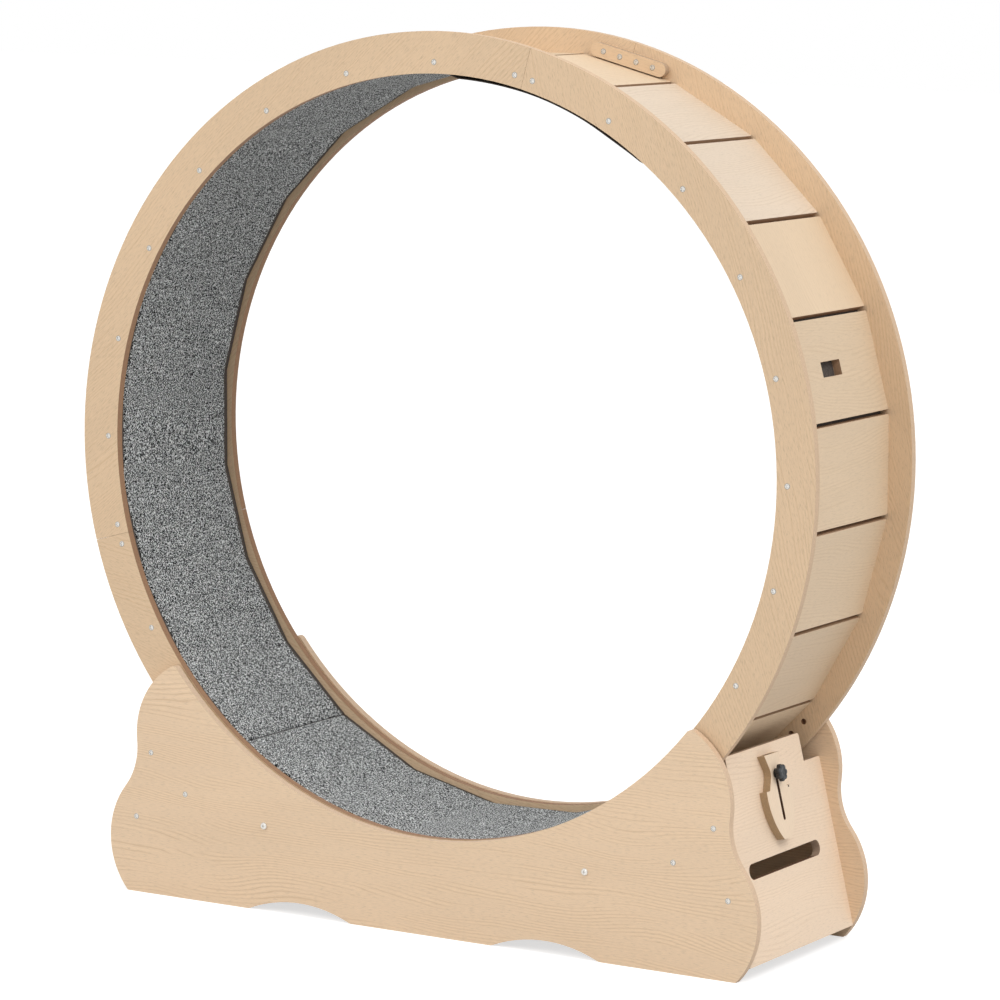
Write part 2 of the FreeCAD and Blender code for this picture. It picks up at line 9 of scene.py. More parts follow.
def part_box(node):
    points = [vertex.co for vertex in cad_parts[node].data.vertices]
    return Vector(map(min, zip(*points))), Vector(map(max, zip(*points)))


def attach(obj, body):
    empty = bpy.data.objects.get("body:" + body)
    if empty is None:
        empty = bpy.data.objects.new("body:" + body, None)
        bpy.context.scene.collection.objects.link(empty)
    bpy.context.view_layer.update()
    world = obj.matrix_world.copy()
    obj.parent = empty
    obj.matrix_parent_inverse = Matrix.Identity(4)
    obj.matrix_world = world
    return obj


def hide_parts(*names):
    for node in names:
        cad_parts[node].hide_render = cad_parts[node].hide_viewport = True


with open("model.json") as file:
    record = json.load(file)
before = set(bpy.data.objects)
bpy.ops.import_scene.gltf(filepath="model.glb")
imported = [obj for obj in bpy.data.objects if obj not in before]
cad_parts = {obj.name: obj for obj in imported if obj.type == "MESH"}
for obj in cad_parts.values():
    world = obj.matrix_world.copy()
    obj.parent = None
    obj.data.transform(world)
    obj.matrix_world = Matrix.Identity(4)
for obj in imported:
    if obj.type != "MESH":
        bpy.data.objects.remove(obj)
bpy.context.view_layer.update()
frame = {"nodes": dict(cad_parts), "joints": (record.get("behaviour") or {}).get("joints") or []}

# A cat exercise wheel: a drum of pale board rings and slats, lined with grey
# carpet, on four small rollers in a board base. Everything is in metres, with
# the front at -Y, the brake at +X and the drum's axle along Y.


# ---- The view ----
# A long lens from the front right, a little above the middle of the drum and
# looking slightly down, worked out from the two rings and the floor's line.

camera_place = Vector((2.7524, -4.6771, 1.2512))
camera_yaw = 0.5294
camera_pitch = -0.1367
camera_roll = 0.0174
lens_mm = 164.7

forward = Vector((-math.sin(camera_yaw) * math.cos(camera_pitch),
                  math.cos(camera_yaw) * math.cos(camera_pitch), math.sin(camera_pitch)))
level = Vector((math.cos(camera_yaw), math.sin(camera_yaw), 0))
upright = level.cross(forward)
right = level * math.cos(camera_roll) + upright * math.sin(camera_roll)
above = right.cross(forward)
camera = bpy.data.objects.new("camera", bpy.data.cameras.new("camera"))
bpy.context.scene.collection.objects.link(camera)
camera.matrix_world = (Matrix.Translation(camera_place)
                       @ Matrix((right, above, -forward)).transposed().to_4x4())
camera.data.lens = lens_mm
camera.data.sensor_width = 36
camera.data.clip_end = 50
bpy.context.scene.camera = camera


# ---- Light, floor and backdrop ----
# A pale studio: white all round and brighter overhead, a broad soft lamp high
# on the right and one in front. The floor is paper and keeps a faint shadow.

ambient_level = 0.63
ambient_overhead = 0.90
key_place = (3.0, -0.9, 3.9)
key_size = 2.4
key_watts = 80
fill_place = (-1.4, -4.0, 3.2)
fill_size = 2.5
fill_watts = 66
floor_size = 40.0
floor_shade = 0.55
floor_lift = 0.66              # what the camera sees added to the lit paper

seen_rays = ("Is Camera Ray", "Is Glossy Ray", "Is Transmission Ray")

scene = bpy.context.scene
scene.view_settings.view_transform = "Standard"


class Value:
    """A socket in a node tree. Arithmetic on it adds Math nodes."""

    def __init__(self, tree, socket):
        self.tree, self.socket = tree, socket

    def math(self, operation, *others):
        return self.tree.add("ShaderNodeMath", {"operation": operation}, [self, *others])

    def __add__(self, other):
        return self.math("ADD", other)

    def __sub__(self, other):
        return self.math("SUBTRACT", other)

    def __mul__(self, other):
        return self.math("MULTIPLY", other)

    def __truediv__(self, other):
        return self.math("DIVIDE", other)

    def __radd__(self, other):
        return self + other

    def __rmul__(self, other):
        return self * other

    def __rsub__(self, other):
        return self.tree.add("ShaderNodeMath", {"operation": "SUBTRACT"}, [other, self])

    def between(self, low, high):
        """0 at low and below, 1 at high and above, smooth in between."""
        return self.tree.add("ShaderNodeMapRange", {"interpolation_type": "SMOOTHSTEP"},
                             {"Value": self, "From Min": low, "From Max": high})


class Tree:
    """A node tree, and the one way to add a node to it."""

    def __init__(self, tree):
        self.tree = tree

    def feed(self, socket, value):
        if isinstance(value, list):
            for each in value:
                self.feed(socket, each)
        elif isinstance(value, Value):
            self.tree.links.new(value.socket, socket)
        else:
            socket.default_value = value

    def add(self, kind, settings=None, sockets=(), output=0):
        """Make a node, settings first, and give one of its outputs."""
        node = self.tree.nodes.new(kind)
        for name, value in (settings or {}).items():
            setattr(node, name, value)
        pairs = sockets.items() if isinstance(sockets, dict) else enumerate(sockets)
        for key, value in pairs:
            self.feed(node.inputs[key], value)
        if len(node.outputs) == 0:
            return None
        return Value(self, node.outputs[output])

    def ray(self, *kinds):
        """1 for light-path rays of any of these kinds, otherwise 0."""
        first, *rest = [self.add("ShaderNodeLightPath", output=kind) for kind in kinds]
        for each in rest:
            first = first.math("MAXIMUM", each)
        return first


world = bpy.data.worlds.new("studio")
world.use_nodes = True
world.node_tree.nodes.clear()
sky = Tree(world.node_tree)
height = sky.add("ShaderNodeSeparateXYZ", None, [sky.add("ShaderNodeTexCoord", output="Generated")],
                 output="Z")
strength = ambient_level + (ambient_overhead - ambient_level) * height.between(0.0, 1.0)
glow = sky.add("ShaderNodeBackground", None, {"Color": (1, 1, 1, 1), "Strength": strength})
white = sky.add("ShaderNodeBackground", None, {"Color": (1, 1, 1, 1), "Strength": 1.0})
seen = sky.ray(*seen_rays)
sky.add("ShaderNodeOutputWorld", None,
        {"Surface": sky.add("ShaderNodeMixShader", None, [seen, glow, white])})
scene.world = world


def soft_lamp(name, place, target, size, watts):
    """A square area lamp at a place, turned to face its target."""
    lamp = bpy.data.objects.new(name, bpy.data.lights.new(name, "AREA"))
    lamp.data.shape = "SQUARE"
    lamp.data.size = size
    lamp.data.energy = watts
    lamp.location = place
    lamp.rotation_euler = (Vector(target) - Vector(place)).to_track_quat("-Z", "Y").to_euler()
    scene.collection.objects.link(lamp)


axle = Vector(next(joint["pos_m"] for joint in frame["joints"] if joint["name"] == "drum_spin"))
soft_lamp("key_lamp", key_place, axle, key_size, key_watts)
soft_lamp("fill_lamp", fill_place, axle, fill_size, fill_watts)

paper = bpy.data.materials.new("white paper")
paper.use_nodes = True
paper.node_tree.nodes.clear()
paper_tree = Tree(paper.node_tree)
matt = paper_tree.add("ShaderNodeBsdfDiffuse", None, {"Color": (*[floor_shade] * 3, 1)})
lift = paper_tree.add("ShaderNodeEmission", None, {"Color": (1, 1, 1, 1), "Strength": floor_lift})
lit = paper_tree.add("ShaderNodeAddShader", None, [matt, lift])
seen = paper_tree.ray(*seen_rays)
paper_tree.add("ShaderNodeOutputMaterial", None,
               {"Surface": paper_tree.add("ShaderNodeMixShader", None, [seen, matt, lit])})
floor_mesh = bpy.data.meshes.new("floor")
half = floor_size / 2
floor_mesh.from_pydata([(-half, -half, 0), (half, -half, 0), (half, half, 0), (-half, half, 0)],
                       [], [(0, 1, 2, 3)])
floor_mesh.materials.append(paper)
floor = bpy.data.objects.new("floor", floor_mesh)
scene.collection.objects.link(floor)


# ---- The rings ----
# Each ring is three curved boards faced with printed pale maple. Every board
# is cut with its grain along its own chord, so the grain turns at each seam.

seam_degrees = (75.9, 195.9, 315.9)
segment_degrees = 120.0
board_thickness = 0.010
ring_tone = (217, 188, 154)
ring_edge_tone = (208, 179, 149)
# Painted shade: a darker tone on the rings' inner edges, holes and seams that stands in for the
# shade falling there.
ring_painted_shade_tone = (140, 106, 78)
ring_cut_radius = 0.4990
figure_lines = 245.0           # lines of the figure in a metre across the grain
figure_wander = 24.0


def shade(red, green, blue):
    """A colour in screen numbers, 0 to 255, as the renderer's numbers."""
    return (*((c / 255 / 12.92) if c <= 10 else ((c / 255 + 0.055) / 1.055) ** 2.4
              for c in (red, green, blue)), 1.0)


def times(tone, factor):
    return tuple(min(255.0, c * factor) for c in tone)


class Finish(Tree):
    """A material with one Principled shader, and the nodes that feed it."""

    def __init__(self, name):
        self.material = bpy.data.materials.new(name)
        self.material.use_nodes = True
        super().__init__(self.material.node_tree)
        self.shader = self.tree.nodes["Principled BSDF"]
        self.position = self.add("ShaderNodeTexCoord", output="Object")

    def set(self, **sockets):
        for name, value in sockets.items():
            self.feed(self.shader.inputs[name.replace("_", " ")], value)

    def along(self, direction, vector=None):
        """How far the point, or another vector, reaches in one direction."""
        return self.add("ShaderNodeVectorMath", {"operation": "DOT_PRODUCT"},
                        [vector or self.position, tuple(direction)], output="Value")

    def axes(self):
        """The point's own X, Y and Z."""
        return [self.along(way) for way in ((1, 0, 0), (0, 1, 0), (0, 0, 1))]

    def noise(self, x, y, z, detail=2.0, rough=0.5):
        place = self.add("ShaderNodeCombineXYZ", None, [x, y, z])
        return self.add("ShaderNodeTexNoise", None,
                        {"Vector": place, "Scale": 1.0, "Detail": detail, "Roughness": rough})

    def speckle(self, pitch, shift=0.0, detail=2.0, rough=0.5):
        """Noise that is alike in every direction. pitch is how fine it is."""
        x, y, z = self.axes()
        return self.noise(x * pitch, y * pitch, z * pitch + shift, detail, rough)

    def mix(self, share, first, second):
        """A colour between two others, each a Value or screen numbers."""
        first, second = [c if isinstance(c, Value) else shade(*c) for c in (first, second)]
        return self.add("ShaderNodeMix", {"data_type": "RGBA"},
                        {0: share, 6: first, 7: second}, output=2)

    def bump(self, height, distance, strength=1.0):
        return self.add("ShaderNodeBump", None,
                        {"Height": height, "Distance": distance, "Strength": strength})


def maple(name, middle, grain, face, tone, edge_tone, seed, lines=1.0, streaks=1.0, cut_darkening=None):
    """Printed maple on board: middle is a point in the board's mid-plane,
    grain and face its two directions. lines are the long marks of the
    figure and streaks the short pores, each as a share of the usual. The last
    argument, if given, is a darker tone for the walls of a cut, and a function that says where it
    goes."""
    look = Finish(name)
    grain, face = Vector(grain).normalized(), Vector(face).normalized()
    across = face.cross(grain)
    middle = Vector(middle)
    a = look.along(grain) - middle.dot(grain)
    b = look.along(across) - middle.dot(across)
    n = look.along(face) - middle.dot(face)
    side = n.math("SIGN") * 3.0 + seed
    # The figure: contour lines of a slow field, thin, long and nearly parallel.
    slow = look.noise(a * 2.8, b * 8.0, side, detail=1.5, rough=0.45)
    jitter = look.noise(a * 14.0, b * 90.0, side)
    field = slow * figure_wander + b * figure_lines + jitter * 0.9
    wave = (field.math("FRACT") - 0.5).math("ABSOLUTE")
    patches = look.noise(a * 7.0, b * 75.0, side + 11.0)
    line = (1.0 - wave.between(0.04, 0.17)) * patches.between(0.40, 0.58)
    pale_line = wave.between(0.32, 0.45) * patches.between(0.44, 0.60)
    # The pores: short dark dashes, with pale ones between them.
    pores = look.noise(a * 120.0, b * 1150.0, side + 5.0, detail=2.5, rough=0.6)
    dark_pores = pores.between(0.54, 0.66)
    pale_pores = 1.0 - pores.between(0.33, 0.46)
    clouds = look.noise(a * 3.0, b * 11.0, side + 23.0).between(0.30, 0.70)
    ground = look.mix(clouds, times(tone, 0.988), times(tone, 1.012))
    ground = look.mix(pale_pores * (0.30 * streaks), ground, times(tone, 1.06))
    ground = look.mix(dark_pores * (0.40 * streaks), ground, times(tone, 0.86))
    red, green, blue = tone
    ground = look.mix(pale_line * (0.55 * lines), ground, times(tone, 1.055))
    ground = look.mix(line * (0.70 * lines), ground, (red * 0.90, green * 0.86, blue * 0.80))
    # The bare edges: pressed fibre, pinker, between two thin printed faces.
    normal = look.add("ShaderNodeTexCoord", output="Normal")
    on_edge = 1.0 - look.along(face, normal).math("ABSOLUTE").between(0.55, 0.85)
    fibre = look.noise(a * 420.0, b * 420.0, n * 900.0, detail=3.0, rough=0.7)
    core = look.mix(fibre.between(0.25, 0.75), times(edge_tone, 0.93), times(edge_tone, 1.05))
    depth = n.math("ABSOLUTE") / (board_thickness / 2)
    on_edge = on_edge.math("MAXIMUM", 1.0 - depth.between(0.85, 0.92))
    core = look.mix(depth.between(0.84, 0.90) * 0.40, core, times(edge_tone, 0.84))
    core = look.mix(depth.between(0.92, 0.97), core, tone)
    # The walls of a cut take a darker tone. On the rings it is painted shade.
    if cut_darkening:
        darker_tone, where = cut_darkening
        core = look.mix(where(a, b), core,
                        look.mix(fibre.between(0.25, 0.75), darker_tone, times(darker_tone, 1.2)))
    look.set(Base_Color=look.mix(on_edge, ground, core),
             Roughness=0.50 + 0.14 * pores + 0.12 * on_edge)
    relief = line * -0.5 - dark_pores * 0.6 + (fibre - 0.5) * on_edge
    look.set(Normal=look.bump(relief, 0.00005, 0.6))
    return look.material


def coat(node, material):
    """Give a CAD node its finish."""
    mesh = frame["nodes"][node].data
    mesh.materials.clear()
    mesh.materials.append(material)


def painted_shade_on_ring(a, b):
    """1 on a ring's inner edge, holes and seams, where the darker tone is painted shade, but not on
    its outer edge.
    """
    return (a * a + b * b).math("SQRT").math("LESS_THAN", ring_cut_radius)


# Painted shade: each ring board's inner edge, holes and seams take the darker tone.
for ring, ring_seed in (("front", 0.0), ("back", 31.0)):
    for part, seam in zip(("upper_left", "lower", "right"), seam_degrees):
        node = ring + "_ring_" + part
        low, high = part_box(node)
        chord = math.radians(seam + segment_degrees / 2 + 90)
        coat(node, maple("maple " + node.replace("_", " "), (axle.x, (low.y + high.y) / 2, axle.z),
                         (math.cos(chord), 0, math.sin(chord)), (0, 1, 0), ring_tone,
                         ring_edge_tone, ring_seed + seam, lines=0.5, streaks=1.6,
                         cut_darkening=(ring_painted_shade_tone, painted_shade_on_ring)))


# ---- The slats ----
# 24 flat boards between the rings, of the same printed board, each a little
# different. Most have their grain from ring to ring; the third runs round.
# The fourth and fifth face up towards the key lamp and get a paler tone, which is painted light.

slat_count = 24
slat_first_degrees = 0.9
slat_middle_radius = 0.4643
slat_tone = (217, 193, 163)
# Painted light: a paler tone for the slats that face the key lamp.
painted_light_slat_tone = (216, 198, 177)
slat_edge_tone = (168, 134, 104)
slat_with_round_grain = 3
painted_light_slats = (4, 5)
slat_tone_spread = 0.012


def round_axle(degrees):
    """The outward and the forward direction at an angle round the axle."""
    angle = math.radians(degrees)
    return (Vector((math.cos(angle), 0, math.sin(angle))),
            Vector((-math.sin(angle), 0, math.cos(angle))))


for number in range(1, slat_count + 1):
    outward, onward = round_axle(slat_first_degrees + (number - 1) * 360 / slat_count)
    turned = number == slat_with_round_grain
    # Painted light: the slats facing the lamp take the paler tone.
    tone = painted_light_slat_tone if number in painted_light_slats else slat_tone
    coat("slat_%02d" % number,
         maple("maple slat %02d" % number, axle + outward * slat_middle_radius,
               onward if turned else (0, 1, 0), outward,
               times(tone, 1.0 + slat_tone_spread * math.sin(number * 2.4)), slat_edge_tone,
               seed=50 + number * 3.7, lines=0.3 if turned else 0.4, streaks=0.8))


# ---- The splice plates ----
# Short strips of the same board with round ends, screwed inside each ring
# across two of its three seams.

splice_radius = 0.4796
splice_edge_tone = times(ring_edge_tone, 0.86)

for place, seam in zip(("top", "left"), seam_degrees):
    outward, onward = round_axle(seam)
    for ring in ("front", "back"):
        node = ring + "_splice_plate_" + place
        low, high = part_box(node)
        middle = axle + outward * splice_radius
        middle.y = (low.y + high.y) / 2
        coat(node, maple("maple " + node.replace("_", " "), middle, onward, (0, 1, 0), ring_tone,
                         splice_edge_tone, seed=140 + seam, lines=0.3))


# ---- The carpet liner ----
# One strip of grey heathered pile on a dark backing, glued to the slats with
# its ends butted low on the left. The backing is bare along both sides, and
# near the top the strip has come away from the slats and hangs a little.

carpet_width = 0.2388
carpet_back_radius = 0.4590
carpet_border_radius = 0.4570
carpet_pile_radius = 0.4548
pile_front_edge = -0.1080
pile_back_edge = 0.1105
pulled_in_degrees = 206.0      # where the pile's front edge is drawn in
pulled_in_width = 7.0
pulled_in_depth = 0.0045
edge_waver = 0.0005
edge_waver_pitch = 0.35
carpet_seam_degrees = 233.5
carpet_seam_gap = 0.0010
carpet_corner_softness = 0.0007
pile_edge_round = 0.0016
carpet_stations = 960
carpet_strips = 60
carpet_edge_steps = (0.0, 0.15, 0.5, 1.1)       # finer strips along each side of the pile
carpet_first_step = 1.6
border_step = 0.0002
pile_unevenness = 0.00028
tuft_pitch = 260
clump_pitch = 90
loose_start = (48.5, 54.5)     # degrees over which the strip leaves the slats
loose_end = (87.0, 92.0)       # and over which it meets them again
loose_radius = 0.4458
loose_back_share = 0.5         # how much less the strip hangs at its back
loose_layers = (-0.0008, 0.0010)
sag_degrees = 59.5
sag_width = 4.5
sag_depth = 0.0016
rise_degrees = 74.0
rise_width = 5.0
rise_height = 0.0005


def flat_radius(flat, degrees):
    """The radius, at an angle, of a liner that lies flat on every slat."""
    turn = (degrees - slat_first_degrees) * slat_count / 360
    return flat / math.cos(math.radians((turn - math.floor(turn + 0.5)) * 360 / slat_count))


def ease(low, high, value):
    """0 at low and below, 1 at high and above, smooth in between."""
    share = min(1.0, max(0.0, (value - low) / (high - low)))
    return share * share * (3 - 2 * share)


def hump(value, middle, width):
    return math.exp(-((value - middle) / width) ** 2)


def carpet_radius(flat, degrees, y):
    """The radius of one layer of the strip, with its loose stretch."""
    degrees %= 360
    share = ease(*loose_start, degrees) * (1 - ease(*loose_end, degrees))
    share *= 1 - loose_back_share * (y / carpet_width + 0.5)
    loose = (loose_radius - sag_depth * hump(degrees, sag_degrees, sag_width)
             + rise_height * hump(degrees, rise_degrees, rise_width))
    thinnest, thickest = loose_layers
    loose += min(thickest, max(thinnest, flat - carpet_border_radius))
    return flat_radius(flat, degrees) * (1 - share) + loose * share


def pile_height(degrees, y, from_edge):
    """The radius of the pile's surface at one point of the strip."""
    radius = carpet_radius(carpet_pile_radius, degrees, y)
    corner = carpet_pile_radius / math.cos(math.pi / slat_count)
    radius -= carpet_corner_softness * math.exp(-abs(corner - radius) / carpet_corner_softness)
    radius += pile_edge_round * 0.8 * max(0.0, 1 - from_edge / pile_edge_round) ** 2
    angle = math.radians(degrees)
    point = Vector((radius * math.cos(angle), y, radius * math.sin(angle)))
    tufts = noise.noise(point * tuft_pitch) + 0.6 * noise.noise(point * clump_pitch)
    return radius + pile_unevenness * tufts


def carpet_mesh():
    """The strip as one closed skin, and each face's material: 0 is the pile
    inside, 1 the backing that lies on the slats and shows beside the pile."""
    gap = math.degrees(carpet_seam_gap / carpet_pile_radius)
    half = carpet_width / 2
    inner = carpet_strips - 2 * len(carpet_edge_steps)
    span = carpet_strips - 2 * carpet_first_step
    steps = list(carpet_edge_steps)
    steps += [carpet_first_step + span * i / inner for i in range(inner + 1)]
    steps += [carpet_strips - step for step in reversed(carpet_edge_steps)]
    steps = [step / carpet_strips for step in steps]
    points, faces, kinds = [], [], []
    for i in range(carpet_stations + 1):
        share = i / carpet_stations
        degrees = carpet_seam_degrees + gap / 2 + (360 - gap) * share
        angle = math.radians(degrees)
        from_end = min(share, 1 - share) * 2 * math.pi * carpet_pile_radius
        waver = degrees * edge_waver_pitch
        front = pile_front_edge + pulled_in_depth * hump(degrees, pulled_in_degrees, pulled_in_width)
        front += edge_waver * noise.noise(Vector((waver, 0.0, 7.0)))
        back = pile_back_edge + edge_waver * noise.noise(Vector((waver, 9.0, 7.0)))
        ridge = []
        for step in steps:
            y = front + (back - front) * step
            ridge.append((pile_height(degrees, y, min(y - front, back - y, from_end)), y))
        outline = [(carpet_radius(carpet_border_radius, degrees, y), y)
                   for y in (-half, front - border_step)]
        outline += ridge
        outline += [(carpet_radius(carpet_border_radius, degrees, y), y)
                    for y in (back + border_step, half)]
        outline += [(carpet_radius(carpet_back_radius, degrees, y), y) for y in (half, 0.0, -half)]
        points += [(axle.x + r * math.cos(angle), y, axle.z + r * math.sin(angle))
                   for r, y in outline]
        columns = len(outline)
    for i in range(carpet_stations):
        for j in range(columns):
            a, b = i * columns + j, i * columns + (j + 1) % columns
            faces.append((a, b, b + columns, a + columns))
            kinds.append(0 if 1 <= j < len(steps) + 2 else 1)
    faces.append(tuple(range(columns))[::-1])
    faces.append(tuple(carpet_stations * columns + j for j in range(columns)))
    return points, faces, kinds + [1, 1]


def piece(name, points, faces, kinds, materials):
    """A new mesh object at the origin, from points in the part's frame. kinds
    gives each face's place in the list of materials, and the first is smooth."""
    mesh = bpy.data.meshes.new(name)
    mesh.from_pydata(points, [], faces)
    for material in materials:
        mesh.materials.append(material)
    mesh.polygons.foreach_set("material_index", kinds)
    work = bmesh.new()
    work.from_mesh(mesh)
    bmesh.ops.recalc_face_normals(work, faces=work.faces)
    work.to_mesh(mesh)
    work.free()
    mesh.polygons.foreach_set("use_smooth", [kind == 0 for kind in kinds])
    made = bpy.data.objects.new(name, mesh)
    scene.collection.objects.link(made)
    return made


def grey_carpet():
    """Heathered pile: dark and light yarns side by side, a mm or two each."""
    look = Finish("grey heathered pile")
    yarn = look.speckle(1150.0, detail=1.0, rough=0.6)
    fleck = look.speckle(560.0, shift=9.0, detail=1.5, rough=0.6)
    cloud = look.speckle(34.0, shift=40.0, detail=3.0, rough=0.55)
    mixed = fleck * 0.62 + yarn * 0.38
    colour = look.mix(mixed.between(0.49, 0.56), (6, 8, 11), (234, 237, 236))
    colour = look.mix(cloud.between(0.30, 0.70) * 0.06, colour, (118, 121, 122))
    look.set(Base_Color=colour, Roughness=0.95, Specular_IOR_Level=0.15, Sheen_Weight=0.10,
             Sheen_Roughness=0.6)
    look.set(Normal=look.bump(mixed + cloud * 0.4, 0.0016, 0.9))
    return look.material


def carpet_backing():
    """The dark latexed backing that shows beside the pile."""
    look = Finish("dark carpet backing")
    felt = look.speckle(500.0, detail=3.0, rough=0.7)
    look.set(Base_Color=look.mix(felt.between(0.35, 0.65), (76, 70, 66), (98, 91, 86)),
             Roughness=0.85 + 0.1 * felt, Specular_IOR_Level=0.2)
    look.set(Normal=look.bump(felt, 0.0004, 0.7))
    return look.material


liner = piece("carpet_strip", *carpet_mesh(), [grey_carpet(), carpet_backing()])
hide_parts("carpet_liner")
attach(liner, "drum")


# ---- The drum's screws ----
# Nickel-plated countersunk wood screws with a cross recess: one through each
# ring into the end of every slat, two where a seam is, and four through each
# splice plate into the ring behind it. Their heads stand a hair proud.

head_radius = 0.0035
head_rise = 0.0005
shank_radius = 0.0018
ring_screw_length = 0.032
splice_screw_length = 0.017
head_sides = 28
head_flat_share = 0.80
# Painted shade: how dark the head's rim is painted, as a share of the recess.
rim_shade = 0.55
recess_length = 0.0042
recess_width = 0.0013
recess_depth = 0.0019
recess_core_radius = 0.0014
recess_taper = 0.6
ring_face_y = 0.130
splice_face_y = 0.110
seam_screw_offset = 0.0122
splice_screw_pitch = 0.023
splice_screw_count = 4


def screw_tree():
    """A tree that puts one screw at each point, its head along 'way'."""
    group = bpy.data.node_groups.new("wood screws", "GeometryNodeTree")
    for name, kind in (("Geometry", "NodeSocketGeometry"), ("Head Radius", "NodeSocketFloat"),
                       ("Head Rise", "NodeSocketFloat"), ("Shank Radius", "NodeSocketFloat"),
                       ("Recess Length", "NodeSocketFloat"), ("Recess Width", "NodeSocketFloat"),
                       ("Recess Depth", "NodeSocketFloat"), ("Recess Core", "NodeSocketFloat"),
                       ("Turn Seed", "NodeSocketInt"), ("Material", "NodeSocketMaterial")):
        group.interface.new_socket(name, in_out="INPUT", socket_type=kind)
    group.interface.new_socket("Geometry", in_out="OUTPUT", socket_type="NodeSocketGeometry")
    tree = Tree(group)
    given = {name: tree.add("NodeGroupInput", output=name)
             for name in ("Geometry", "Head Radius", "Head Rise", "Shank Radius", "Recess Length",
                          "Recess Width", "Recess Depth", "Recess Core", "Turn Seed", "Material")}
    radius, rise, shank = given["Head Radius"], given["Head Rise"], given["Shank Radius"]

    def raised(geometry, z):
        place = tree.add("ShaderNodeCombineXYZ", None, [0.0, 0.0, z])
        return tree.add("GeometryNodeTransform", None,
                        {"Geometry": geometry, "Translation": place})

    def frustum(top, bottom, depth, low):
        made = tree.add("GeometryNodeMeshCone", None,
                        {"Vertices": head_sides, "Radius Top": top, "Radius Bottom": bottom,
                         "Depth": depth})
        return raised(made, low)

    dome = frustum(radius * head_flat_share, radius, rise, 0.0)
    cone_depth = radius - shank
    sink = frustum(radius, shank, cone_depth, 0.0 - cone_depth)
    head = tree.add("GeometryNodeMeshBoolean", {"operation": "UNION", "solver": "EXACT"},
                    {"Mesh 2": [dome, sink]})
    reach = given["Recess Depth"]
    blades = []
    for long, wide in (("Recess Length", "Recess Width"), ("Recess Width", "Recess Length")):
        size = tree.add("ShaderNodeCombineXYZ", None, [given[long], given[wide], reach * 2.0])
        blade = tree.add("GeometryNodeMeshCube", None, {"Size": size})
        blades.append(raised(blade, rise))
    core = given["Recess Core"]
    blades.append(frustum(core, core * recess_taper, reach * 2.0, rise - reach * 0.9))
    head = tree.add("GeometryNodeMeshBoolean", {"operation": "DIFFERENCE", "solver": "EXACT"},
                    {"Mesh 1": head, "Mesh 2": blades})
    # Painted shade: 1 inside the recess and less on the head's rim, where the material darkens the
    # plating to stand in for shade.
    place = tree.add("GeometryNodeInputPosition")
    low = tree.add("ShaderNodeSeparateXYZ", None, [place], output="Z")
    out = tree.add("ShaderNodeVectorMath", {"operation": "LENGTH"},
                   [tree.add("ShaderNodeVectorMath", {"operation": "MULTIPLY"},
                             [place, (1.0, 1.0, 0.0)])], output="Value")
    inside = (out.math("LESS_THAN", given["Recess Length"] * 0.55)
              * low.math("LESS_THAN", rise * 0.6)
              * low.math("GREATER_THAN", rise - reach * 1.1))
    rim = out.math("GREATER_THAN", radius * 0.86) * low.math("GREATER_THAN", 0.0)
    head = tree.add("GeometryNodeStoreNamedAttribute", {"data_type": "FLOAT", "domain": "FACE"},
                    {"Geometry": head, "Name": "shaded", "Value": inside + rim * rim_shade})
    way = tree.add("GeometryNodeInputNamedAttribute", {"data_type": "FLOAT_VECTOR"},
                   {"Name": "way"})
    length = tree.add("GeometryNodeInputNamedAttribute", {"data_type": "FLOAT"},
                      {"Name": "length"})
    facing = tree.add("FunctionNodeAlignRotationToVector", {"axis": "Z"}, {"Vector": way})

    def placed(mesh, scale):
        return tree.add("GeometryNodeInstanceOnPoints", None,
                        {"Points": given["Geometry"], "Instance": mesh, "Rotation": facing,
                         "Scale": scale})

    stem = tree.add("GeometryNodeMeshCylinder", {"fill_type": "TRIANGLE_FAN"},
                    {"Vertices": 10, "Radius": shank, "Depth": 1.0})
    stem = raised(stem, -0.5)
    stretch = tree.add("ShaderNodeCombineXYZ", None, [1.0, 1.0, length])
    heads = placed(head, (1.0, 1.0, 1.0))
    turn = tree.add("FunctionNodeRandomValue", {"data_type": "FLOAT"},
                    {2: 0.0, 3: 2 * math.pi, "Seed": given["Turn Seed"]}, output=1)
    spun = tree.add("ShaderNodeCombineXYZ", None, [0.0, 0.0, turn])
    heads = tree.add("GeometryNodeRotateInstances", None,
                     {"Instances": heads, "Rotation": spun, "Local Space": True})
    both = tree.add("GeometryNodeJoinGeometry", None,
                    {"Geometry": [heads, placed(stem, stretch)]})
    real = tree.add("GeometryNodeRealizeInstances", None, {"Geometry": both})
    done = tree.add("GeometryNodeSetMaterial", None,
                    {"Geometry": real, "Material": given["Material"]})
    tree.add("NodeGroupOutput", None, {"Geometry": done})
    return group


def nickel():
    """Satin nickel plating with faint tool marks, darkened as painted shade in the screws' recesses
    and on their rims.
    """
    look = Finish("satin nickel")
    marks = look.speckle(1500.0, detail=3.0, rough=0.6)
    colour = look.mix(marks.between(0.35, 0.70), (206, 203, 197), (226, 224, 219))
    shaded = look.add("ShaderNodeAttribute", {"attribute_name": "shaded"}, output="Fac")
    # Painted shade: the plating goes dark inside the cross recess, and less so on the head's rim.
    colour = look.mix(shaded, colour, (70, 64, 60))
    look.set(Base_Color=colour, Metallic=1.0, Roughness=0.30 + 0.16 * marks)
    look.set(Normal=look.bump(marks, 0.00003, 0.5))
    return look.material


